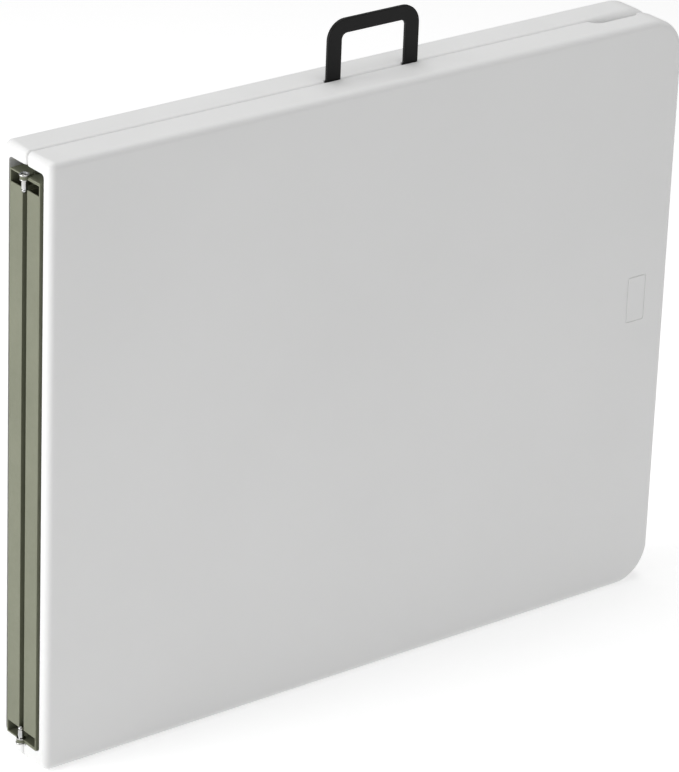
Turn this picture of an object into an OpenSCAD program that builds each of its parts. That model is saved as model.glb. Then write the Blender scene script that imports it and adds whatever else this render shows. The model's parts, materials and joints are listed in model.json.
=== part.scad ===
// Fold-in-half table, closed like a case and standing on one long edge.
// X runs from the fold to the outer end, Y from the front half to the rear
// half, Z up.  The origin is the middle of the footprint, on the floor.
// Parts are drawn for the rear half (+Y side of the seam); front() mirrors them.

/* [Table top] */
// Length of one half, from the fold to the outer end
half_len = 900; // [880:10:960]
// Width of the table top, which is its height when it stands on its long edge
top_width = 740; // [720:10:780]
// Thickness of the two closed halves together
folded_thick = 93; // [91:1:100]
// Thickness of the slab at the fold end
slab_thick = 13; // [12:1:14]
// Radius of the large corners at the outer end
outer_corner_r = 48; // [30:1:60]
// Radius of the edge all round the table surface
edge_r = 8.7; // [6:0.1:10]

/* [Frame] */
// Width of the rails and of the fold-end cross members
rail_width = 24.5; // [23:0.5:25]
// Height of a rail's flanges
rail_height = 15.3; // [14:0.1:17]
// Sheet thickness of the rails
rail_sheet = 1.6; // [1.2:0.1:2]

/* [Legs] */
// Distance of the leg pivot from the fold
pivot_dist = 800; // [795:1:810]
// Outside radius of the outer leg tubes
leg_r = 12.5; // [12:0.1:12.5]
// Distance of each leg tube from the middle of the table's width
leg_offset = 175; // [150:5:190]
// Travel of the telescoping feet
foot_travel = 310; // [250:5:315]

/* [Handle] */
// Outside width of the handle
handle_width = 129.5; // [110:0.5:150]
// Height of the handle above the table's edge
handle_rise = 71; // [68:1:80]
// Width of each handle prong
prong_width = 19.5; // [18:0.5:24]
// Travel of the handle
handle_travel = 50; // [40:1:50]

/* [Hidden] */
$fn = 48;
cut = 1;
half_thick = folded_thick / 2;
seam_gap = 0.4;
panel_depth = half_thick - seam_gap;
cavity_depth = half_thick - slab_thick;
field_depth = half_thick - 4.5;
run_gap = 0.06;

// Fold hinge: the frame stands a little proud of the fold faces, and the axis
// just outside the frame, in the seam plane.
frame_out = 1.8;
axis_out = 2.2;
ear_r = 5.3;
ear_gap = 0.3;
bolt_r = 3.4;
bolt_head_r = 6.2;
bolt_tip = 19.4;
fold_x = -(half_len - bolt_head_r - axis_out) / 2;

// Skirts round the underside.
top_skirt = 16;
floor_skirt = 21;
outer_skirt = 18;
fold_corner_r = 4;
cavity_r = 5;

// Rails: the web faces the skirt, the flanges point to the middle.  The inner
// flange stops short of the hinge ears.
rail_y = 4.4;
rail_end = half_len - 28;
rail_low_z = floor_skirt + 0.3;
rail_high_z = top_width - 27.6;
rail_mid_y = rail_y + rail_width / 2;
flange_start = 14;
screw_x = [50, 320, 600, 850];
screw_r = 2.2;
boss_r = 7;

// Leg frames.
pivot_r = 9;
spigot_r = 6;
washer_t = 2.5;
tube_wall = 1.5;
pivot_low = rail_low_z + rail_sheet + washer_t + 0.2;
pivot_high = rail_high_z - rail_sheet - washer_t - 0.2;
stiffener_dist = 60;
stiffener_r = 8;
outer_tube_len = 370;
foot_dist = 388;
foot_r = 12.5;
foot_half = 240;
cap_r = 14;
cap_len = 14;
mid_z = top_width / 2;

// Folding braces: anchor A on the slab, elbow E, stud Q on the leg tube.
brace_y = 14;
anchor_x = 460;
stud_dist = 250;
anchor_dist = pivot_dist - anchor_x;
offset_y = rail_mid_y - brace_y;
reach = sqrt(pow(anchor_dist + offset_y, 2) + pow(stud_dist - offset_y, 2));
fold_diff = anchor_dist - stud_dist;
long_bar = (reach + fold_diff) / 2;
short_bar = (reach - fold_diff) / 2;
bar_w = 18;
bar_t = 3;
short_bar_gap = 1.5;
layer_gap = 1;
stud_r = 4;
pin_r = 3;
short_low = leg_r + short_bar_gap;
long_low = short_low + bar_t + layer_gap;
bracket_ear_t = 2.5;
bracket_side = 2;
bracket_low = long_low - bracket_side - bracket_ear_t;
bracket_high = long_low + bar_t + bracket_side + bracket_ear_t;

// Handle.
handle_x = 467;
handle_t = 5;
handle_bar = 17.5;
handle_outer_r = 24;
handle_inner_r = 7;
handle_slot_r = pin_r + 0.2;
bracket_face_y = handle_t / 2 + 0.4;
rivet_z = top_width - 62;
rivet_x = [handle_x - (handle_width - prong_width) / 2, handle_x + (handle_width - prong_width) / 2];

// Finger recess and blank engraved frame.
recess_x = [783, 860];
recess_r = 16;
recess_deep = 8;
badge_x = 850;
badge_z = 388;
badge_w = 29;
badge_h = 60;
badge_line = 2;
badge_deep = 0.6;

WHITE = [0.93, 0.93, 0.92];
OLIVE = [0.57, 0.58, 0.49];
BLACK = [0.1, 0.1, 0.1];
ZINC = [0.78, 0.78, 0.76];

module front() {
  mirror([0, 1, 0]) children();
}

module at_fold() {
  translate([fold_x, 0, 0]) children();
}

module lower() {
  translate([fold_x, 0, rail_low_z]) children();
}

module upper() {
  translate([fold_x, 0, rail_high_z]) mirror([0, 0, 1]) children();
}

// The lower rail's own level, and its mirror image at the upper rail.
module at_rails() {
  lower() children();
  upper() children();
}

// Both leg tubes, each seen from the tube with z pointing to the middle.
module at_legs() {
  translate([fold_x, 0, mid_z - leg_offset]) children();
  translate([fold_x, 0, mid_z + leg_offset]) mirror([0, 0, 1]) children();
}

module along_y(y0, y1, r) {
  translate([0, y0, 0]) rotate([-90, 0, 0]) cylinder(r = r, h = y1 - y0);
}

// ---- panels ----

module corner_post(r) {
  rotate([-90, 0, 0])
    rotate_extrude($fn = 64)
      intersection() {
        square([r, panel_depth]);
        union() {
          square([r, panel_depth - edge_r]);
          square([r - edge_r, panel_depth]);
          translate([r - edge_r, panel_depth - edge_r]) circle(r = edge_r, $fn = 64);
        }
      }
}

module panel_blank() {
  hull() {
    for (z = [fold_corner_r, top_width - fold_corner_r])
      translate([fold_corner_r, seam_gap, z]) along_y(0, cavity_depth, fold_corner_r);
    for (z = [edge_r, top_width - edge_r])
      translate([edge_r, seam_gap, z]) corner_post(edge_r);
    for (z = [outer_corner_r, top_width - outer_corner_r])
      translate([half_len - outer_corner_r, seam_gap, z]) corner_post(outer_corner_r);
  }
}

module cavity() {
  low = floor_skirt;
  high = top_width - top_skirt;
  length = half_len - outer_skirt + cut;
  translate([-cut, 0, 0])
    rotate([90, 0, 90])
      linear_extrude(length) {
        translate([-cut, low]) square([cavity_depth - cavity_r + cut, high - low]);
        translate([-cut, low + cavity_r]) square([cavity_depth + cut, high - low - 2 * cavity_r]);
        for (z = [low + cavity_r, high - cavity_r])
          translate([cavity_depth - cavity_r, z]) circle(r = cavity_r);
      }
}

// Shallow fields in the slab, either side of the band that holds the brackets.
module slab_fields() {
  edge = 60;
  for (span = [[45, 425], [495, 780]])
    translate([span[0], cavity_depth - cut, edge])
      cube([span[1] - span[0], field_depth - cavity_depth + cut, top_width - 2 * edge]);
}

module screw_sites() {
  for (x = screw_x)
    for (z = [rail_low_z + rail_height / 2, rail_high_z - rail_height / 2])
      translate([x, 0, z]) children();
}

module handle_slots() {
  room = 1.2;
  for (x = rivet_x)
    translate([x - prong_width / 2 - room, -cut, top_width - top_skirt - cut])
      cube([prong_width + 2 * room, handle_t / 2 + room + cut, top_skirt + 2 * cut]);
}

// Room for the bolt heads where they reach into the skirts.
module bolt_pockets() {
  room = 1.5;
  deep = 3.3;
  translate([-axis_out, 0, rail_low_z - deep]) cylinder(r = bolt_head_r + room, h = deep + cut);
}

module panel_body() {
  difference() {
    panel_blank();
    cavity();
    slab_fields();
    handle_slots();
    bolt_pockets();
  }
  difference() {
    screw_sites() along_y(rail_y + rail_width, cavity_depth + cut, boss_r);
    screw_sites() along_y(rail_y + rail_width - cut, cavity_depth + cut + cut, screw_r + run_gap);
  }
}

module badge_groove() {
  translate([badge_x - badge_w / 2, half_thick - badge_deep, badge_z - badge_h / 2])
    difference() {
      cube([badge_w, badge_deep + cut, badge_h]);
      translate([badge_line, -cut, badge_line])
        cube([badge_w - 2 * badge_line, badge_deep + 3 * cut, badge_h - 2 * badge_line]);
    }
}

// A recess in the top edge at the seam, for the fingers that open the table.
module finger_recess() {
  translate([0, seam_gap, top_width - recess_deep]) {
    for (x = [recess_x[0] + recess_r, recess_x[1] - recess_r])
      translate([x, 0, 0]) cylinder(r = recess_r, h = recess_deep + cut);
    translate([recess_x[0] + recess_r, -cut, 0])
      cube([recess_x[1] - recess_x[0] - 2 * recess_r, recess_r + cut, recess_deep + cut]);
  }
}

module screw_pilots() {
  screw_sites() along_y(cavity_depth - cut, cavity_depth + 6, screw_r + run_gap);
}

module front_panel() {
  color(WHITE) front() at_fold() difference() {
    panel_body();
    screw_pilots();
    badge_groove();
    finger_recess();
  }
}

module rear_panel() {
  color(WHITE) at_fold() difference() {
    panel_body();
    screw_pilots();
  }
}

// ---- rails, cross members and the fold hinge ----

module rail_channel() {
  outer_y = rail_y + rail_width - rail_sheet;
  translate([-frame_out, rail_y, 0]) cube([rail_end + frame_out, rail_width, rail_sheet]);
  translate([flange_start, rail_y, 0]) cube([rail_end - flange_start, rail_sheet, rail_height]);
  translate([-frame_out, outer_y, 0]) cube([rail_end + frame_out, rail_sheet, rail_height]);
}

module rail_holes() {
  translate([pivot_dist, rail_mid_y, -cut]) cylinder(r = spigot_r + run_gap, h = rail_sheet + 2 * cut);
  for (x = screw_x)
    translate([x, 0, rail_height / 2])
      along_y(rail_y + rail_width - rail_sheet - cut, rail_y + rail_width + cut, screw_r + run_gap);
}

// The rear rails carry the outer hinge ears on their webs.
module rear_rail() {
  tab_len = 12;
  difference() {
    union() {
      rail_channel();
      translate([-axis_out, 0, 0]) cylinder(r = ear_r, h = rail_sheet);
      translate([-frame_out, 0, 0]) cube([tab_len, rail_y + cut, rail_sheet]);
    }
    rail_holes();
    translate([-axis_out, 0, -cut]) cylinder(r = bolt_r + run_gap, h = rail_sheet + 2 * cut);
  }
}

// The front rails are notched to clear those ears.
module front_rail() {
  notch = ear_r + 1.5;
  difference() {
    rail_channel();
    rail_holes();
    translate([-axis_out, 0, -cut]) cube([notch, notch, rail_sheet + 2 * cut]);
  }
}

module front_upper_rail() { color(OLIVE) front() upper() front_rail(); }
module front_lower_rail() { color(OLIVE) front() lower() front_rail(); }
module rear_upper_rail() { color(OLIVE) upper() rear_rail(); }
module rear_lower_rail() { color(OLIVE) lower() rear_rail(); }

module crossmember() {
  deep = 25 + frame_out;
  low = rail_low_z + rail_height;
  high = rail_high_z - rail_height;
  difference() {
    translate([-frame_out, rail_y, low]) cube([deep, rail_width, high - low]);
    translate([tube_wall - frame_out, rail_y + tube_wall, low - cut])
      cube([deep - 2 * tube_wall, rail_width - 2 * tube_wall, high - low + 2 * cut]);
  }
}

module front_fold_crossmember() { color(OLIVE) front() at_fold() crossmember(); }
module rear_fold_crossmember() { color(OLIVE) at_fold() crossmember(); }

// Hinge plates lie inside the front rails, their ears over the rear rails' ears.
module hinge_plate() {
  room = 0.2;
  plate_end = 42;
  pad_start = 16;
  inner_y = rail_y + rail_sheet + room;
  far_y = rail_y + rail_width - rail_sheet - room;
  low = rail_sheet + ear_gap;
  difference() {
    union() {
      translate([-axis_out, 0, low]) cylinder(r = ear_r, h = rail_sheet);
      translate([-frame_out, 0, low]) cube([flange_start + frame_out - 0.5, far_y, rail_sheet]);
      translate([0, inner_y, low]) cube([plate_end, far_y - inner_y, rail_sheet]);
      translate([pad_start, inner_y, rail_sheet]) cube([plate_end - pad_start, far_y - inner_y, ear_gap]);
    }
    translate([-axis_out, 0, 0]) cylinder(r = bolt_r + run_gap, h = low + rail_sheet + cut);
  }
}

module front_hinge_plates() { color(OLIVE) front() at_rails() hinge_plate(); }

// A hollow rivet with a rolled rim outside the ears, a grooved stem and a domed tip.
module hinge_bolt() {
  rim_r = 1.3;
  seat = -0.2;
  bore_r = 2.2;
  bore_deep = 9;
  groove_r = 2.5;
  groove_t = 1.1;
  dome_low = bolt_tip - bolt_r;
  translate([-axis_out, 0, 0])
    difference() {
      union() {
        translate([0, 0, seat - rim_r])
          rotate_extrude() translate([bolt_head_r - rim_r, 0]) circle(r = rim_r, $fn = 24);
        translate([0, 0, seat - rim_r]) cylinder(r = bolt_head_r - rim_r, h = rim_r);
        translate([0, 0, seat - cut]) cylinder(r = bolt_r, h = dome_low - groove_t - seat + cut);
        translate([0, 0, dome_low - groove_t - cut]) cylinder(r = groove_r, h = groove_t + 2 * cut);
        translate([0, 0, dome_low])
          rotate_extrude()
            intersection() {
              circle(r = bolt_r);
              square([bolt_r, bolt_r]);
            }
      }
      translate([0, 0, seat - 3 * rim_r]) cylinder(r = bore_r, h = bore_deep);
    }
}

module hinge_bolts() { color(ZINC) at_rails() hinge_bolt(); }

module hinge_clip() {
  clip_t = 1.2;
  low = 2 * rail_sheet + ear_gap + 0.1;
  translate([-axis_out, 0, low])
    difference() {
      cylinder(r = ear_r, h = clip_t);
      translate([0, 0, -cut]) cylinder(r = bolt_r + run_gap, h = clip_t + 2 * cut);
    }
}

module hinge_clips() { color(ZINC) at_rails() hinge_clip(); }

module panel_screws() {
  head_r = 4.5;
  head_t = 2.5;
  bite = 5;
  seat_y = rail_y + rail_width - rail_sheet;
  at_fold() screw_sites() {
    along_y(seat_y - head_t, seat_y, head_r);
    along_y(seat_y, cavity_depth + bite, screw_r);
  }
}

module front_panel_screws() { color(ZINC) front() panel_screws(); }
module rear_panel_screws() { color(ZINC) panel_screws(); }

// ---- legs ----

module pivot_washers() {
  at_rails()
    translate([pivot_dist, rail_mid_y, rail_sheet])
      difference() {
        cylinder(r = pivot_r, h = washer_t);
        translate([0, 0, -cut]) cylinder(r = spigot_r + run_gap, h = washer_t + 2 * cut);
      }
}

module front_pivot_washers() { color(BLACK) front() pivot_washers(); }
module rear_pivot_washers() { color(BLACK) pivot_washers(); }

// A tube or rod that runs from the pivot towards the fold.
module leg_run(d0, d1, r) {
  translate([pivot_dist - d1, rail_mid_y, 0]) rotate([0, 90, 0]) cylinder(r = r, h = d1 - d0);
}

// The tube between the rails is swaged down to spigots that turn in their webs.
module pivot_tube() {
  spigot_low = rail_low_z + 0.1;
  spigot_high = rail_high_z - 0.1;
  translate([fold_x + pivot_dist, rail_mid_y, 0]) {
    translate([0, 0, pivot_low]) cylinder(r = pivot_r, h = pivot_high - pivot_low);
    translate([0, 0, spigot_low]) cylinder(r = spigot_r, h = spigot_high - spigot_low);
  }
}

module pivot_tube_bore() {
  shoulder = 2;
  translate([fold_x + pivot_dist, rail_mid_y, 0]) {
    cylinder(r = spigot_r - tube_wall, h = top_width);
    translate([0, 0, pivot_low + shoulder])
      cylinder(r = pivot_r - tube_wall, h = pivot_high - pivot_low - 2 * shoulder);
  }
}

module stiffener(r) {
  translate([fold_x + pivot_dist - stiffener_dist, rail_mid_y, mid_z - leg_offset])
    cylinder(r = r, h = 2 * leg_offset);
}

module leg_frame() {
  stud_reach = short_low + bar_t + 0.3;
  difference() {
    union() {
      pivot_tube();
      stiffener(stiffener_r);
      at_legs() leg_run(0, outer_tube_len, leg_r);
      at_legs() translate([pivot_dist - stud_dist, brace_y, 0]) cylinder(r = stud_r, h = stud_reach);
    }
    at_legs() leg_run(pivot_r + 3, outer_tube_len + cut, leg_r - tube_wall);
    pivot_tube_bore();
    stiffener(stiffener_r - tube_wall);
  }
}

module front_leg_frame() { color(OLIVE) front() leg_frame(); }
module rear_leg_frame() { color(OLIVE) leg_frame(); }

module leg_collars() {
  collar_len = 18;
  at_legs()
    difference() {
      leg_run(outer_tube_len - collar_len, outer_tube_len, cap_r);
      leg_run(outer_tube_len - collar_len - cut, outer_tube_len + cut, leg_r + run_gap);
    }
}

module front_leg_collars() { color(BLACK) front() leg_collars(); }
module rear_leg_collars() { color(BLACK) leg_collars(); }

module foot_frame() {
  slide_r = leg_r - tube_wall - 0.1;
  slide_start = 16;
  difference() {
    union() {
      at_legs() leg_run(slide_start, foot_dist, slide_r);
      translate([fold_x + pivot_dist - foot_dist, rail_mid_y, mid_z - foot_half])
        cylinder(r = foot_r, h = 2 * foot_half);
    }
    at_legs() leg_run(slide_start - cut, foot_dist - foot_r, slide_r - tube_wall);
    translate([fold_x + pivot_dist - foot_dist, rail_mid_y, mid_z - foot_half - cut])
      cylinder(r = foot_r - tube_wall, h = 2 * foot_half + 2 * cut);
  }
}

module front_foot_frame() { color(OLIVE) front() foot_frame(); }
module rear_foot_frame() { color(OLIVE) foot_frame(); }

module foot_caps() {
  plug_len = 15;
  for (side = [0, 1])
    translate([fold_x + pivot_dist - foot_dist, rail_mid_y, mid_z])
      mirror([0, 0, side]) {
        translate([0, 0, foot_half]) cylinder(r = cap_r, h = cap_len);
        translate([0, 0, foot_half - plug_len]) cylinder(r = foot_r - tube_wall - run_gap, h = plug_len);
      }
}

module front_foot_caps() { color(BLACK) front() foot_caps(); }
module rear_foot_caps() { color(BLACK) foot_caps(); }

// ---- braces: z counts from the leg tube's middle towards the table's middle ----

module bar_outline(length) {
  circle(r = bar_w / 2);
  translate([0, -bar_w / 2]) square([length, bar_w]);
  translate([length, 0]) circle(r = bar_w / 2);
}

module long_brace() {
  translate([anchor_x, brace_y, long_low])
    difference() {
      linear_extrude(bar_t) bar_outline(long_bar);
      translate([0, 0, -cut]) cylinder(r = pin_r + run_gap, h = bar_t + 2 * cut);
      translate([long_bar, 0, -cut]) cylinder(r = stud_r + run_gap, h = bar_t + 2 * cut);
    }
}

module short_brace() {
  translate([pivot_dist - stud_dist, brace_y, short_low])
    difference() {
      linear_extrude(bar_t) bar_outline(short_bar);
      translate([0, 0, -cut]) cylinder(r = stud_r + run_gap, h = bar_t + 2 * cut);
      translate([short_bar, 0, -cut]) cylinder(r = stud_r + run_gap, h = bar_t + 2 * cut);
    }
}

module elbow_rivet() {
  head_r = 7;
  head_t = 2;
  tail = 0.3;
  translate([anchor_x + long_bar, brace_y, long_low]) {
    translate([0, 0, -tail]) cylinder(r = stud_r, h = bar_t + tail);
    translate([0, 0, bar_t]) cylinder(r = head_r, h = head_t);
  }
}

module brace_ear(z) {
  translate([anchor_x, 0, z])
    difference() {
      union() {
        translate([0, brace_y, 0]) cylinder(r = bar_w / 2, h = bracket_ear_t);
        translate([-bar_w / 2, brace_y, 0]) cube([bar_w, cavity_depth - brace_y, bracket_ear_t]);
      }
      translate([0, brace_y, -cut]) cylinder(r = pin_r + run_gap, h = bracket_ear_t + 2 * cut);
    }
}

// A U-shaped bracket: two ears on a foot that lies on the slab.
module brace_bracket() {
  foot_start = anchor_x - 15;
  foot_len = 34;
  brace_ear(bracket_low);
  brace_ear(bracket_high - bracket_ear_t);
  translate([foot_start, cavity_depth - bracket_ear_t, bracket_low])
    cube([foot_len, bracket_ear_t, bracket_high - bracket_low]);
}

module bracket_pin() {
  head_r = 5;
  head_t = 2;
  tail = 0.4;
  translate([anchor_x, brace_y, 0]) {
    translate([0, 0, bracket_low - tail]) cylinder(r = pin_r, h = bracket_high - bracket_low + tail);
    translate([0, 0, bracket_high]) cylinder(r = head_r, h = head_t);
  }
}

module front_long_braces() { color(OLIVE) front() at_legs() long_brace(); }
module rear_long_braces() { color(OLIVE) at_legs() long_brace(); }
module front_short_braces() { color(OLIVE) front() at_legs() short_brace(); }
module rear_short_braces() { color(OLIVE) at_legs() short_brace(); }
module front_elbow_rivets() { color(ZINC) front() at_legs() elbow_rivet(); }
module rear_elbow_rivets() { color(ZINC) at_legs() elbow_rivet(); }
module front_brace_brackets() { color(OLIVE) front() at_legs() brace_bracket(); }
module rear_brace_brackets() { color(OLIVE) at_legs() brace_bracket(); }
module front_bracket_pins() { color(ZINC) front() at_legs() bracket_pin(); }
module rear_bracket_pins() { color(ZINC) at_legs() bracket_pin(); }

// ---- handle ----

// A flat upright plate with its two upper corners rounded, in the XZ plane.
module loop_outline(width, low, high, r) {
  translate([-width / 2, low]) square([width, high - low - r]);
  translate([-width / 2 + r, low]) square([width - 2 * r, high - low]);
  for (x = [-width / 2 + r, width / 2 - r])
    translate([x, high - r]) circle(r = r);
}

// The slot that lets a prong slide along its rivet.
module prong_slot(x) {
  for (z = [rivet_z, rivet_z + handle_travel])
    translate([x, z]) circle(r = handle_slot_r);
  translate([x - handle_slot_r, rivet_z]) square([2 * handle_slot_r, handle_travel]);
}

module handle() {
  top = top_width + handle_rise;
  low = rivet_z - 9;
  inner_w = handle_width - 2 * prong_width;
  color(BLACK) at_fold()
    translate([handle_x, handle_t / 2, 0]) rotate([90, 0, 0]) linear_extrude(handle_t)
      difference() {
        loop_outline(handle_width, low, top, handle_outer_r);
        loop_outline(inner_w, low - cut, top - handle_bar, handle_inner_r);
        for (x = rivet_x) prong_slot(x - handle_x);
      }
}

module handle_bracket() {
  span = handle_width + 20;
  low = rivet_z - 14;
  color(OLIVE) front() at_fold() difference() {
    translate([handle_x - span / 2, bracket_face_y, low])
      cube([span, rail_y - bracket_face_y, rail_high_z - low]);
    for (x = rivet_x)
      translate([x, 0, rivet_z]) along_y(0, rail_y + cut, pin_r + run_gap);
  }
}

module handle_rivets() {
  head_r = 6.5;
  tail_r = 5;
  head_t = 2;
  color(ZINC) front() at_fold()
    for (x = rivet_x)
      translate([x, 0, rivet_z]) {
        along_y(-bracket_face_y, rail_y, pin_r);
        along_y(-bracket_face_y - head_t, -bracket_face_y, head_r);
        along_y(rail_y, rail_y + head_t, tail_r);
      }
}

front_panel();
rear_panel();
front_upper_rail();
front_lower_rail();
rear_upper_rail();
rear_lower_rail();
front_fold_crossmember();
rear_fold_crossmember();
front_hinge_plates();
hinge_bolts();
hinge_clips();
front_panel_screws();
rear_panel_screws();
front_pivot_washers();
rear_pivot_washers();
front_leg_frame();
rear_leg_frame();
front_leg_collars();
rear_leg_collars();
front_foot_frame();
rear_foot_frame();
front_foot_caps();
rear_foot_caps();
front_brace_brackets();
rear_brace_brackets();
front_bracket_pins();
rear_bracket_pins();
front_long_braces();
rear_long_braces();
front_short_braces();
rear_short_braces();
front_elbow_rivets();
rear_elbow_rivets();
handle();
handle_bracket();
handle_rivets();
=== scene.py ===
"""Looks of the closed fold-in-half table: moulded panels, grip handle and every material."""

import json
import math

import bmesh
import bpy
from mathutils import Matrix, Vector


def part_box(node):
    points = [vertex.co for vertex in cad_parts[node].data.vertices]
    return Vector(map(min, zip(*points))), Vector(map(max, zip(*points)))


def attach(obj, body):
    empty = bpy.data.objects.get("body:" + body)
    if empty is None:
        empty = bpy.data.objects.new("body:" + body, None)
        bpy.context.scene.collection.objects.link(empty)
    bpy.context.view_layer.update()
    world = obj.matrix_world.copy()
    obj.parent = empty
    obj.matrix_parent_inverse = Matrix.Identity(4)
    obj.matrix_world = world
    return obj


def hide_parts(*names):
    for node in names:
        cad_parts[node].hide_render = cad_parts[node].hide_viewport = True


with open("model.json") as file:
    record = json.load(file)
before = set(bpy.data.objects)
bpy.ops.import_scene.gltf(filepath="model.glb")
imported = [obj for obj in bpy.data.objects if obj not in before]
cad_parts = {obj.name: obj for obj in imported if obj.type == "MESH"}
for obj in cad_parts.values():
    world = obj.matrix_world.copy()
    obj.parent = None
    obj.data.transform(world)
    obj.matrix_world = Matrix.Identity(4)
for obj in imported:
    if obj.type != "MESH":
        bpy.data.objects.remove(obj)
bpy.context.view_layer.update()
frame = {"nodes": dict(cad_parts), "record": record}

# ---- driving sizes, in metres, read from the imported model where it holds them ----

MM = 0.001
PANEL_LOW, PANEL_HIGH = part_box("front_panel")
FOLD_X = PANEL_LOW[0]
OUTER_X = PANEL_HIGH[0]
WIDTH = PANEL_HIGH[2]
FACE_Y = -PANEL_LOW[1]
SEAM_Y = -PANEL_HIGH[1]
RAIL_LOW_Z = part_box("front_lower_rail")[0][2]
RAIL_HIGH_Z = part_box("front_upper_rail")[1][2]
RAIL_OUTER_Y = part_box("rear_fold_crossmember")[1][1]
BOLT_LOW, BOLT_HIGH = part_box("hinge_bolts")

# The slab, its recessed fields and the skirts round them.
SLAB = 13 * MM
FIELD_SKIN = 4.5 * MM
CAVITY_Y = FACE_Y - SLAB
FIELD_Y = FACE_Y - FIELD_SKIN
FIELD_SPANS = ((45 * MM, 425 * MM), (495 * MM, 780 * MM))
FIELD_MARGIN = 60 * MM
FIELD_CORNER = 18 * MM
CAVITY_CORNER = 5 * MM
TOP_SKIRT = 16 * MM
FLOOR_SKIRT = 21 * MM
OUTER_SKIRT = 18 * MM

# Corners and edges.  The lip at the seam is fuller round the outer end, with a web behind it.
OUTER_R = 48 * MM
EDGE_R = 8.7 * MM
FOLD_R = 6 * MM
LIP_R = 4.2 * MM
OUTER_LIP_R = 12 * MM
LIP_GROWS = (775 * MM, 845 * MM)
WEB_R = 24 * MM
WEB_Y = 3.9 * MM

# Kiss-off dimples: wide and narrow radius, how far they reach past the field, and their spacing.
DIMPLE_WIDE = 13 * MM
DIMPLE_TIP = 6 * MM
DIMPLE_BACK = 4 * MM
DIMPLE_DEEP = 1.8 * MM
DIMPLE_PITCH = 62 * MM
DIMPLE_ROWS = 9

# Screws, finger recess, blank frame and handle, from the fold.
SCREW_X = (50 * MM, 320 * MM, 600 * MM, 850 * MM)
SCREW_RISE = 7.65 * MM
BOSS_R = 7 * MM
BOSS_ROOT = 3 * MM
HOLE_R = 2.3 * MM
HOLE_DEEP = 6 * MM
RECESS_X = (783 * MM, 860 * MM)
RECESS_R = 16 * MM
RECESS_DEEP = 8 * MM
BADGE_X = 850 * MM
BADGE_Z = 388 * MM
BADGE_HALF_W = 14.5 * MM
BADGE_HALF_H = 30 * MM
BADGE_LINE = 2 * MM
BADGE_DEEP = 0.6 * MM
BADGE_CORNER = 3 * MM
PRONG = 19.5 * MM
HANDLE_BAR = 17.5 * MM
HANDLE_TRAVEL = 50 * MM
HANDLE_ROOM = 1.2 * MM
HANDLE_OUTER_R = 24 * MM
HANDLE_INNER_R = 7 * MM
HANDLE_SLOT_R = 3.2 * MM
HANDLE_SLOT_RISE = 9 * MM
HANDLE_EDGE = 1.4 * MM
PANEL_EDGE = 0.9 * MM
BOLT_ROOM = 1.5 * MM

# Mesh cleaning: weld distance, and the largest angles dissolved and shaded smooth, in degrees.
WELD = 1e-6
FLAT_ANGLE = 0.6
SMOOTH_ANGLE = 32


# ---- mesh helpers ----

def new_object(name, mesh_data):
    obj = bpy.data.objects.new(name, mesh_data)
    bpy.context.scene.collection.objects.link(obj)
    return obj


def finish_mesh(bm, name):
    bmesh.ops.remove_doubles(bm, verts=bm.verts, dist=WELD)
    bmesh.ops.recalc_face_normals(bm, faces=bm.faces)
    data = bpy.data.meshes.new(name)
    bm.to_mesh(data)
    bm.free()
    return new_object(name, data)


def apply_modifiers(obj):
    """Turns the object's modifiers into its mesh."""
    depsgraph = bpy.context.evaluated_depsgraph_get()
    data = bpy.data.meshes.new_from_object(obj.evaluated_get(depsgraph))
    obj.modifiers.clear()
    obj.data = data


def arc(cx, cz, r, start, end, steps):
    """Points on an arc, angles in degrees."""
    angles = [math.radians(start + (end - start) * i / steps) for i in range(steps + 1)]
    return [(cx + r * math.cos(a), cz + r * math.sin(a)) for a in angles]


def drawn_out(name, start, end):
    """A closed solid between two loops of as many points each."""
    bm = bmesh.new()
    low = [bm.verts.new(point) for point in start]
    high = [bm.verts.new(point) for point in end]
    bm.faces.new(low)
    bm.faces.new(reversed(high))
    count = len(low)
    for i in range(count):
        j = (i + 1) % count
        bm.faces.new((low[i], high[i], high[j], low[j]))
    return finish_mesh(bm, name)


def prism(name, outline, y0, y1):
    """A closed solid: a flat outline in XZ, drawn out along Y."""
    return drawn_out(name, [(x, y0, z) for x, z in outline], [(x, y1, z) for x, z in outline])


def bar_x(name, outline, x0, x1):
    """A closed solid: a flat outline in YZ, drawn out along X."""
    return drawn_out(name, [(x0, y, z) for y, z in outline], [(x1, y, z) for y, z in outline])


def pillar(name, outline, z0, z1):
    """A closed solid: a flat outline in XY, drawn up along Z."""
    return drawn_out(name, [(x, y, z0) for x, y in outline], [(x, y, z1) for x, y in outline])


def rounded_box_outline(x0, x1, z0, z1, r, steps=6):
    points = []
    points += arc(x1 - r, z1 - r, r, 0, 90, steps)
    points += arc(x0 + r, z1 - r, r, 90, 180, steps)
    points += arc(x0 + r, z0 + r, r, 180, 270, steps)
    points += arc(x1 - r, z0 + r, r, 270, 360, steps)
    return points


def cylinder_y(name, x, z, y0, y1, r, steps=32):
    return prism(name, arc(x, z, r, 0, 360, steps)[:-1], y0, y1)


def combine(obj, others, operation):
    """Joins the others to the object or cuts them out of it, and removes them."""
    for other in others:
        mod = obj.modifiers.new("combine", "BOOLEAN")
        mod.operation = operation
        mod.solver = "EXACT"
        mod.object = other
    apply_modifiers(obj)
    for other in others:
        bpy.data.objects.remove(other, do_unlink=True)


def cut_with(obj, cutters):
    combine(obj, cutters, "DIFFERENCE")


def join_with(obj, extras):
    combine(obj, extras, "UNION")


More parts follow.
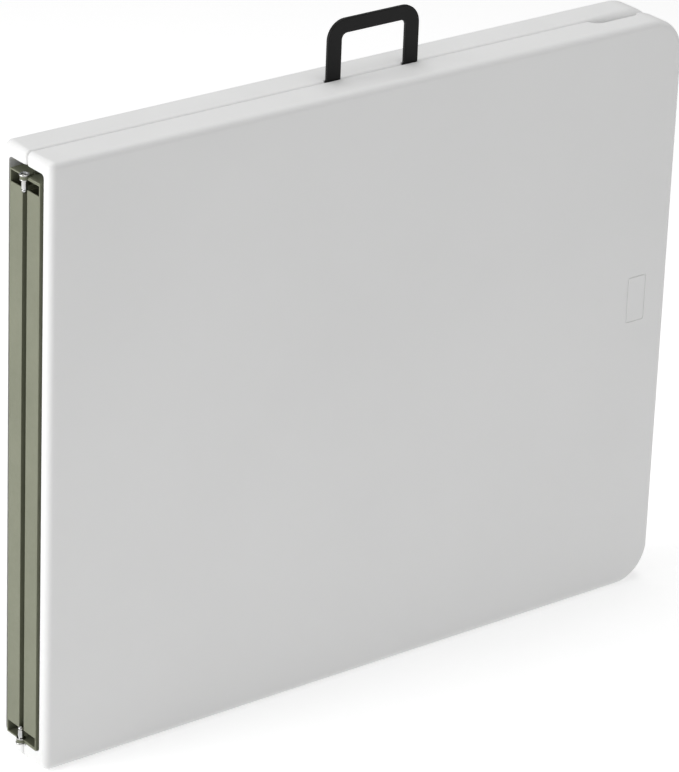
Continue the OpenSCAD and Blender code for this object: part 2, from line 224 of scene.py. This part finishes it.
def smooth_group():
    """A node group that shades smooth, except over edges sharper than an angle."""
    group = bpy.data.node_groups.new("smooth_edges", "GeometryNodeTree")
    group.interface.new_socket("Geometry", in_out="INPUT", socket_type="NodeSocketGeometry")
    group.interface.new_socket("Geometry", in_out="OUTPUT", socket_type="NodeSocketGeometry")
    nodes, links = group.nodes, group.links
    start = nodes.new("NodeGroupInput")
    end = nodes.new("NodeGroupOutput")
    clean = nodes.new("GeometryNodeRemoveAttribute")
    clean.inputs["Name"].default_value = "custom_normal"
    angle = nodes.new("GeometryNodeInputMeshEdgeAngle")
    compare = nodes.new("FunctionNodeCompare")
    compare.data_type = "FLOAT"
    compare.operation = "LESS_EQUAL"
    compare.inputs[1].default_value = math.radians(SMOOTH_ANGLE)
    edges = nodes.new("GeometryNodeSetShadeSmooth")
    edges.domain = "EDGE"
    faces = nodes.new("GeometryNodeSetShadeSmooth")
    faces.domain = "FACE"
    links.new(start.outputs[0], clean.inputs["Geometry"])
    links.new(clean.outputs["Geometry"], faces.inputs["Geometry"])
    links.new(faces.outputs["Geometry"], edges.inputs["Geometry"])
    links.new(angle.outputs["Unsigned Angle"], compare.inputs[0])
    links.new(compare.outputs["Result"], edges.inputs["Shade Smooth"])
    links.new(edges.outputs["Geometry"], end.inputs[0])
    return group


SMOOTH = smooth_group()


def soften(obj, width, segments=2, dissolve=True, limit=34):
    """Welds and cleans a mesh, rounds its sharp edges and shades it smooth."""
    weld = obj.modifiers.new("weld", "WELD")
    weld.merge_threshold = WELD
    if dissolve:
        flat = obj.modifiers.new("flat", "DECIMATE")
        flat.decimate_type = "DISSOLVE"
        flat.angle_limit = math.radians(FLAT_ANGLE)
    if width:
        bevel = obj.modifiers.new("bevel", "BEVEL")
        bevel.width = width
        bevel.segments = segments
        bevel.limit_method = "ANGLE"
        bevel.angle_limit = math.radians(limit)
        bevel.use_clamp_overlap = True
    smooth = obj.modifiers.new("smooth", "NODES")
    smooth.node_group = SMOOTH
    normals = obj.modifiers.new("normals", "WEIGHTED_NORMAL")
    normals.keep_sharp = True
    normals.weight = 80


# ---- materials ----

def new_material(name):
    mat = bpy.data.materials.new(name)
    mat.use_nodes = True
    shader = mat.node_tree.nodes["Principled BSDF"]
    return mat, mat.node_tree.nodes, mat.node_tree.links, shader


def object_coords(nodes, links, scale=(1, 1, 1)):
    coords = nodes.new("ShaderNodeTexCoord")
    mapping = nodes.new("ShaderNodeMapping")
    mapping.inputs["Scale"].default_value = scale
    links.new(coords.outputs["Object"], mapping.inputs["Vector"])
    return mapping.outputs["Vector"]


def noise(nodes, links, vector, scale, detail=4, roughness=0.5):
    node = nodes.new("ShaderNodeTexNoise")
    node.inputs["Scale"].default_value = scale
    node.inputs["Detail"].default_value = detail
    node.inputs["Roughness"].default_value = roughness
    links.new(vector, node.inputs["Vector"])
    return node.outputs["Fac"]


def ramp(nodes, links, value, stops):
    """Maps a value to colours; stops are (place, colour)."""
    node = nodes.new("ShaderNodeValToRGB")
    elements = node.color_ramp.elements
    while len(elements) < len(stops):
        elements.new(0.5)
    for element, (place, colour) in zip(elements, stops):
        element.position = place
        element.color = (*colour, 1)
    links.new(value, node.inputs["Fac"])
    return node.outputs["Color"]


def remap(nodes, links, value, low, high, out_low, out_high):
    node = nodes.new("ShaderNodeMapRange")
    node.inputs["From Min"].default_value = low
    node.inputs["From Max"].default_value = high
    node.inputs["To Min"].default_value = out_low
    node.inputs["To Max"].default_value = out_high
    links.new(value, node.inputs["Value"])
    return node.outputs["Result"]


def bump(nodes, links, height, strength, distance, normal=None):
    node = nodes.new("ShaderNodeBump")
    node.inputs["Strength"].default_value = strength
    node.inputs["Distance"].default_value = distance
    links.new(height, node.inputs["Height"])
    if normal:
        links.new(normal, node.inputs["Normal"])
    return node.outputs["Normal"]


def shade(value):
    return (value, value, value)


def white_plastic():
    """Blow-moulded HDPE: fine pebble grain, faint flow marks and handling haze."""
    mat, nodes, links, shader = new_material("white_plastic")
    space = object_coords(nodes, links)
    cloud = noise(nodes, links, space, 3.2, 3)
    tint = ramp(nodes, links, cloud, [(0.3, (0.778, 0.779, 0.776)), (0.7, (0.802, 0.803, 0.800))])
    links.new(tint, shader.inputs["Base Color"])
    haze = noise(nodes, links, space, 22, 6, 0.65)
    links.new(remap(nodes, links, haze, 0.35, 0.7, 0.40, 0.56), shader.inputs["Roughness"])
    cells = nodes.new("ShaderNodeTexVoronoi")
    cells.feature = "SMOOTH_F1"
    cells.inputs["Scale"].default_value = 620
    links.new(space, cells.inputs["Vector"])
    grain = bump(nodes, links, cells.outputs["Distance"], 0.10, 0.0003)
    wave = bump(nodes, links, noise(nodes, links, space, 7, 2), 0.05, 0.004, grain)
    links.new(wave, shader.inputs["Normal"])
    shader.inputs["IOR"].default_value = 1.5
    shader.inputs["Specular IOR Level"].default_value = 0.42
    shader.inputs["Subsurface Weight"].default_value = 0.06
    shader.inputs["Subsurface Radius"].default_value = (0.004, 0.004, 0.0035)
    shader.inputs["Subsurface Scale"].default_value = 1.0
    return mat


def olive_steel():
    """Olive-grey powder coat on steel: orange peel, mild mottling, rubbed spots."""
    mat, nodes, links, shader = new_material("olive_steel")
    space = object_coords(nodes, links)
    mottle = noise(nodes, links, space, 14, 5, 0.6)
    tint = ramp(nodes, links, mottle, [(0.3, (0.172, 0.181, 0.125)), (0.72, (0.198, 0.207, 0.145))])
    links.new(tint, shader.inputs["Base Color"])
    fine = noise(nodes, links, space, 160, 4, 0.6)
    links.new(remap(nodes, links, fine, 0.3, 0.7, 0.36, 0.52), shader.inputs["Roughness"])
    peel = bump(nodes, links, noise(nodes, links, space, 520, 3, 0.55), 0.22, 0.0003)
    links.new(peel, shader.inputs["Normal"])
    shader.inputs["Metallic"].default_value = 0.0
    shader.inputs["Specular IOR Level"].default_value = 0.26
    shader.inputs["Coat Weight"].default_value = 0.06
    shader.inputs["Coat Roughness"].default_value = 0.3
    return mat


def black_rubberised(name, base, grain_scale, rough_low, rough_high, depth):
    """Black plastic or grip coating: uneven blackness and a fine leathery grain."""
    mat, nodes, links, shader = new_material(name)
    space = object_coords(nodes, links)
    patch = noise(nodes, links, space, 30, 4)
    tint = ramp(nodes, links, patch, [(0.3, shade(base * 0.8)), (0.7, shade(base * 1.3))])
    links.new(tint, shader.inputs["Base Color"])
    fine = noise(nodes, links, space, grain_scale, 3, 0.6)
    links.new(remap(nodes, links, fine, 0.3, 0.7, rough_low, rough_high), shader.inputs["Roughness"])
    links.new(bump(nodes, links, fine, 0.35, depth), shader.inputs["Normal"])
    shader.inputs["Specular IOR Level"].default_value = 0.22
    return mat


def zinc():
    """Bright zinc plate: lathe lines, faint yellow-blue passivation tint."""
    mat, nodes, links, shader = new_material("zinc")
    space = object_coords(nodes, links)
    film = noise(nodes, links, space, 60, 3)
    stops = [(0.3, (0.50, 0.50, 0.47)), (0.5, (0.55, 0.55, 0.54)), (0.7, (0.49, 0.51, 0.54))]
    tint = ramp(nodes, links, film, stops)
    links.new(tint, shader.inputs["Base Color"])
    turned = object_coords(nodes, links, (1, 1, 14))
    lines = noise(nodes, links, turned, 260, 3, 0.6)
    links.new(remap(nodes, links, lines, 0.3, 0.7, 0.10, 0.22), shader.inputs["Roughness"])
    links.new(bump(nodes, links, lines, 0.25, 0.0001), shader.inputs["Normal"])
    shader.inputs["Metallic"].default_value = 1.0
    return mat


MATERIALS = {
    "white_plastic": white_plastic(),
    "olive_steel": olive_steel(),
    "black_handle": black_rubberised("black_handle", 0.0055, 900, 0.42, 0.6, 0.0002),
    "black_plastic": black_rubberised("black_plastic", 0.03, 500, 0.35, 0.5, 0.0002),
    "zinc": zinc(),
}


def paint(obj, name):
    obj.data.materials.clear()
    obj.data.materials.append(MATERIALS[name])


# ---- the two moulded panels ----

OUTER_STEPS = 24
FOLD_STEPS = 10
LEAST_REACH = 0.2 * MM
LIP_PLACES = (845, 830, 815, 800, 785, 770)


def lip_radius(x):
    """The rounding of the rim at the seam, fuller towards the outer end."""
    start, end = LIP_GROWS
    t = min(max((x - FOLD_X - start) / (end - start), 0), 1)
    return LIP_R + (OUTER_LIP_R - LIP_R) * t * t * (3 - 2 * t)


def rim_profile(x):
    """From the seam to the face: (distance from the middle plane, inset, fold corner radius)."""
    lip = lip_radius(x)
    lip_steps, wall_steps, roll_steps = 6, 3, 14
    rows = []
    for i in range(lip_steps, -1, -1):
        a = math.radians(90 * i / lip_steps)
        rows.append((SEAM_Y + lip * (1 - math.sin(a)), lip * (1 - math.cos(a)), FOLD_R))
    wall_start, wall_end = SEAM_Y + lip, FACE_Y - EDGE_R
    for i in range(1, wall_steps + 1):
        t = i / wall_steps
        rows.append((wall_start + (wall_end - wall_start) * t, 0, FOLD_R + (EDGE_R - FOLD_R) * t))
    for i in range(1, roll_steps + 1):
        a = math.radians(90 * i / roll_steps)
        rows.append((wall_end + EDGE_R * math.sin(a), EDGE_R * (1 - math.cos(a)), EDGE_R))
    flat_rim = 3 * MM
    rows.append((FACE_Y, EDGE_R + flat_rim, EDGE_R))
    return rows


def rim_column(kind, value):
    """One line across the rim, as (x, distance from the middle plane, distance from the edge)."""
    if kind == "straight":
        return [(value, y, inset) for y, inset, _ in rim_profile(value)]
    a = math.radians(value)
    column = []
    guide_x = OUTER_X if kind == "outer" else FOLD_X
    for y, inset, fold_r in rim_profile(guide_x):
        r = OUTER_R if kind == "outer" else fold_r
        centre_x = OUTER_X - r if kind == "outer" else FOLD_X + r
        reach = max(r - inset, LEAST_REACH)
        column.append((centre_x + reach * math.cos(a), y, r - reach * math.sin(a)))
    return column


def panel_blank(name, sign):
    """The closed outside of a half: rim, wall, rolled edge and flat face."""
    places = [("outer", 90 * i / OUTER_STEPS) for i in range(OUTER_STEPS + 1)]
    places += [("straight", FOLD_X + d * MM) for d in LIP_PLACES]
    places += [("fold", 90 + 90 * i / FOLD_STEPS) for i in range(FOLD_STEPS + 1)]
    upper = [rim_column(*place) for place in places]
    bm = bmesh.new()
    columns = [[bm.verts.new((x, sign * y, WIDTH - edge)) for x, y, edge in column] for column in upper]
    lower = list(reversed(upper))
    columns += [[bm.verts.new((x, sign * y, edge)) for x, y, edge in column] for column in lower]
    for left, right in zip(columns, columns[1:] + columns[:1]):
        for i in range(len(left) - 1):
            bm.faces.new((left[i], right[i], right[i + 1], left[i + 1]))
    bm.faces.new([column[0] for column in columns])
    bm.faces.new([column[-1] for column in reversed(columns)])
    return finish_mesh(bm, name)


def cavity_cutter(sign):
    """The open underside, with rounded deep corners, running out through the fold end."""
    low, high = FLOOR_SKIRT, WIDTH - TOP_SKIRT
    r, past = CAVITY_CORNER, 5 * MM
    outline = [(-past, low)]
    outline += arc(CAVITY_Y - r, low + r, r, 270, 360, 8)
    outline += arc(CAVITY_Y - r, high - r, r, 0, 90, 8)
    outline += [(-past, high)]
    end = OUTER_X - OUTER_SKIRT
    cavity = bar_x("cavity", [(sign * y, z) for y, z in outline], FOLD_X - 4 * past, end)
    cut_with(cavity, [corner_web(sign, end, low, 1), corner_web(sign, end, high, -1)])
    return cavity


def corner_web(sign, x, z, inward):
    """A web left at the seam across an outer corner of the tray, behind the full lip."""
    centre_x, centre_z, over = x - WEB_R, z + inward * WEB_R, 2 * MM
    outline = arc(centre_x, centre_z, WEB_R, 0, -inward * 90, 12)
    outline += [(centre_x, z - inward * over), (x + over, z - inward * over), (x + over, centre_z)]
    y0, y1 = sorted((-sign * 3 * over, sign * WEB_Y))
    return prism("web", outline, y0, y1)


def screw_sites():
    heights = (RAIL_LOW_Z + SCREW_RISE, RAIL_HIGH_Z - SCREW_RISE)
    return [(FOLD_X + d, z) for d in SCREW_X for z in heights]


def dimple(sign, x, z):
    """A kiss-off dimple: a shallow cone pressed into the recessed field."""
    steps = 20
    bm = bmesh.new()
    rings = []
    for y, r in ((FIELD_Y - DIMPLE_BACK, DIMPLE_WIDE), (FIELD_Y + DIMPLE_DEEP, DIMPLE_TIP)):
        circle = arc(x, z, r, 0, 360, steps)[:-1]
        rings.append([bm.verts.new((px, sign * y, pz)) for px, pz in circle])
    wide, tip = rings
    bm.faces.new(wide)
    bm.faces.new(reversed(tip))
    for i in range(steps):
        j = (i + 1) % steps
        bm.faces.new((wide[i], tip[i], tip[j], wide[j]))
    return finish_mesh(bm, "dimple")


def dimples(sign):
    field_low, field_h = FIELD_MARGIN, WIDTH - 2 * FIELD_MARGIN
    made = []
    for start, end in FIELD_SPANS:
        columns = round((end - start) / DIMPLE_PITCH)
        for i in range(columns):
            x = FOLD_X + start + (end - start) * (i + 0.5) / columns
            for j in range(DIMPLE_ROWS):
                made.append(dimple(sign, x, field_low + field_h * (j + 0.5) / DIMPLE_ROWS))
    return made


def panel_cutters(sign):
    cutters = [cavity_cutter(sign)]
    past = 2 * MM
    for start, end in FIELD_SPANS:
        low_z, high_z = FIELD_MARGIN, WIDTH - FIELD_MARGIN
        outline = rounded_box_outline(FOLD_X + start, FOLD_X + end, low_z, high_z, FIELD_CORNER)
        y0, y1 = sorted((sign * (CAVITY_Y - past), sign * FIELD_Y))
        cutters.append(prism("field", outline, y0, y1))
    handle_low, handle_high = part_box("handle")
    room = HANDLE_ROOM
    slot_low, slot_high = WIDTH - TOP_SKIRT - past, WIDTH + past
    for x0, x1 in ((handle_low[0], handle_low[0] + PRONG), (handle_high[0] - PRONG, handle_high[0])):
        y0, y1 = sorted((-sign * past, sign * (handle_high[1] + room)))
        outline = rounded_box_outline(x0 - room, x1 + room, slot_low, slot_high, 0.5 * MM, 2)
        cutters.append(prism("handle_slot", outline, y0, y1))
    pocket_r = (BOLT_HIGH[1] - BOLT_LOW[1]) / 2 + BOLT_ROOM
    axis_x = (BOLT_LOW[0] + BOLT_HIGH[0]) / 2
    circle = arc(axis_x, 0, pocket_r, 0, 360, 48)[:-1]
    cutters.append(pillar("pocket", circle, BOLT_LOW[2] - 0.5 * MM, RAIL_LOW_Z + MM))
    return cutters


def bosses(sign):
    y0, y1 = sorted((sign * RAIL_OUTER_Y, sign * (CAVITY_Y + BOSS_ROOT)))
    return [cylinder_y("boss", x, z, y0, y1, BOSS_R) for x, z in screw_sites()]


def screw_holes(sign):
    y0, y1 = sorted((sign * (RAIL_OUTER_Y - MM), sign * (CAVITY_Y + HOLE_DEEP)))
    return [cylinder_y("hole", x, z, y0, y1, HOLE_R, 16) for x, z in screw_sites()]


def badge_cutter():
    """A blank engraved frame on the front face: a thin groove round a plain field."""
    x, z = FOLD_X + BADGE_X, BADGE_Z
    y0, y1 = -FACE_Y - MM, -FACE_Y + BADGE_DEEP
    half_w, half_h = BADGE_HALF_W, BADGE_HALF_H
    outer = rounded_box_outline(x - half_w, x + half_w, z - half_h, z + half_h, BADGE_CORNER)
    half_w, half_h = half_w - BADGE_LINE, half_h - BADGE_LINE
    inner = rounded_box_outline(x - half_w, x + half_w, z - half_h, z + half_h, BADGE_CORNER / 2)
    bm = bmesh.new()
    rings = []
    for loop, y in ((outer, y0), (outer, y1), (inner, y1), (inner, y0)):
        rings.append([bm.verts.new((px, y, pz)) for px, pz in loop])
    for a, b in zip(rings, rings[1:] + rings[:1]):
        for i in range(len(a)):
            j = (i + 1) % len(a)
            bm.faces.new((a[i], a[j], b[j], b[i]))
    return finish_mesh(bm, "badge_groove")


def recess_cutter():
    """The finger recess in the front half's top edge, at the seam."""
    x0, x1 = FOLD_X + RECESS_X[0] + RECESS_R, FOLD_X + RECESS_X[1] - RECESS_R
    past = 5 * MM
    outline = arc(x0, -SEAM_Y, RECESS_R, 90, 270, 24)
    outline += arc(x1, -SEAM_Y, RECESS_R, 270, 450, 24)
    return pillar("recess", outline, WIDTH - RECESS_DEEP, WIDTH + past)


def make_panel(name, body, sign, extra_cutters):
    panel = panel_blank(name + "_moulding", sign)
    cut_with(panel, panel_cutters(sign) + extra_cutters)
    join_with(panel, bosses(sign))
    cut_with(panel, screw_holes(sign) + dimples(sign))
    paint(panel, "white_plastic")
    soften(panel, PANEL_EDGE, 2, dissolve=False, limit=40)
    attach(panel, body)
    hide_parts(name)


make_panel("front_panel", "front_half", -1, [badge_cutter(), recess_cutter()])
make_panel("rear_panel", "rear_half", 1, [])


# ---- the handle: a flat loop with rounded edges and slotted prongs ----

def make_handle():
    low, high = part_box("handle")
    x0, z0, x1, z1 = low[0], low[2], high[0], high[2]
    outer_r, inner_r = HANDLE_OUTER_R, HANDLE_INNER_R
    slot_r, slot_rise = HANDLE_SLOT_R, HANDLE_SLOT_RISE
    outline = [(x0, z0)]
    outline += arc(x0 + outer_r, z1 - outer_r, outer_r, 180, 90, 16)
    outline += arc(x1 - outer_r, z1 - outer_r, outer_r, 90, 0, 16)
    outline += [(x1, z0), (x1 - PRONG, z0)]
    outline += arc(x1 - PRONG - inner_r, z1 - HANDLE_BAR - inner_r, inner_r, 0, 90, 8)
    outline += arc(x0 + PRONG + inner_r, z1 - HANDLE_BAR - inner_r, inner_r, 90, 180, 8)
    outline += [(x0 + PRONG, z0)]
    loop = prism("handle_loop", outline, low[1], high[1])
    slots = []
    for centre in (x0 + PRONG / 2, x1 - PRONG / 2):
        shape = arc(centre, z0 + slot_rise, slot_r, 180, 360, 10)
        shape += arc(centre, z0 + slot_rise + HANDLE_TRAVEL, slot_r, 0, 180, 10)
        slots.append(prism("slot", shape, low[1] - MM, high[1] + MM))
    cut_with(loop, slots)
    paint(loop, "black_handle")
    soften(loop, HANDLE_EDGE, 4, dissolve=False, limit=50)
    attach(loop, "handle")
    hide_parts("handle")


make_handle()


# ---- the CAD's own pieces: finishes and softened edges ----

EDGE_ROUND = {"olive_steel": 0.35 * MM, "black_plastic": 0.6 * MM, "zinc": 0.3 * MM}
SLOT_OF = {row["node"]: row["material_slot"] for row in frame["record"]["subparts"]}
for node_name, node_obj in frame["nodes"].items():
    if node_name in ("front_panel", "rear_panel", "handle"):
        continue
    slot_name = SLOT_OF[node_name]
    for place in node_obj.material_slots:
        place.material = MATERIALS[slot_name]
    soften(node_obj, EDGE_ROUND[slot_name])


# ---- floor, light and camera ----

def make_floor():
    bm = bmesh.new()
    size, drop = 60, 0.5 * MM
    square = ((-size, -size), (size, -size), (size, size), (-size, size))
    bm.faces.new([bm.verts.new((x, y, -drop)) for x, y in square])
    floor = finish_mesh(bm, "floor")
    mat, nodes, links, shader = new_material("floor_paper")
    shader.inputs["Base Color"].default_value = (0.93, 0.93, 0.93, 1)
    shader.inputs["Emission Color"].default_value = (1, 1, 1, 1)
    shader.inputs["Emission Strength"].default_value = 0.35
    shader.inputs["Roughness"].default_value = 0.9
    shader.inputs["Specular IOR Level"].default_value = 0.1
    floor.data.materials.append(mat)


def area_light(name, place, aim, size, power):
    data = bpy.data.lights.new(name, "AREA")
    data.shape = "RECTANGLE"
    data.size, data.size_y = size
    data.energy = power
    light = new_object(name, data)
    direction = Vector(aim) - Vector(place)
    turn = direction.to_track_quat("-Z", "Y").to_matrix().to_4x4()
    light.matrix_world = Matrix.Translation(place) @ turn


def make_lights():
    world = bpy.data.worlds.new("studio")
    bpy.context.scene.world = world
    world.use_nodes = True
    background = world.node_tree.nodes["Background"]
    background.inputs["Color"].default_value = (1, 1, 1, 1)
    background.inputs["Strength"].default_value = 0.335
    middle = (0, 0, 0.4)
    area_light("key_left", (-4.2, 1.0, 1.3), middle, (2.4, 2.6), 105)
    area_light("front_fill", (0.8, -4.6, 2.6), middle, (4.0, 2.4), 7)
    area_light("top_soft", (0.2, 0.3, 4.2), middle, (3.0, 3.0), 79)


def make_camera():
    azimuth, elevation, roll = math.radians(38.26), math.radians(24.37), math.radians(2.23)
    aim = Vector((-0.00715, 0, 0.3557))
    distance = 5.1285
    ahead = math.cos(elevation)
    forward = Vector((math.sin(azimuth) * ahead, math.cos(azimuth) * ahead, -math.sin(elevation)))
    level = Vector((math.cos(azimuth), -math.sin(azimuth), 0))
    up = level.cross(forward)
    right = level * math.cos(roll) + up * math.sin(roll)
    up = up * math.cos(roll) - level * math.sin(roll)
    data = bpy.data.cameras.new("camera")
    data.sensor_fit = "HORIZONTAL"
    data.sensor_width = 36
    data.lens = 234
    data.clip_end = 100
    camera = new_object("camera", data)
    rotation = Matrix((right, up, -forward)).transposed().to_4x4()
    camera.matrix_world = Matrix.Translation(aim - forward * distance) @ rotation
    bpy.context.scene.camera = camera


make_floor()
make_lights()
make_camera()
bpy.context.scene.view_settings.view_transform = "Standard"

bpy.context.view_layer.update()
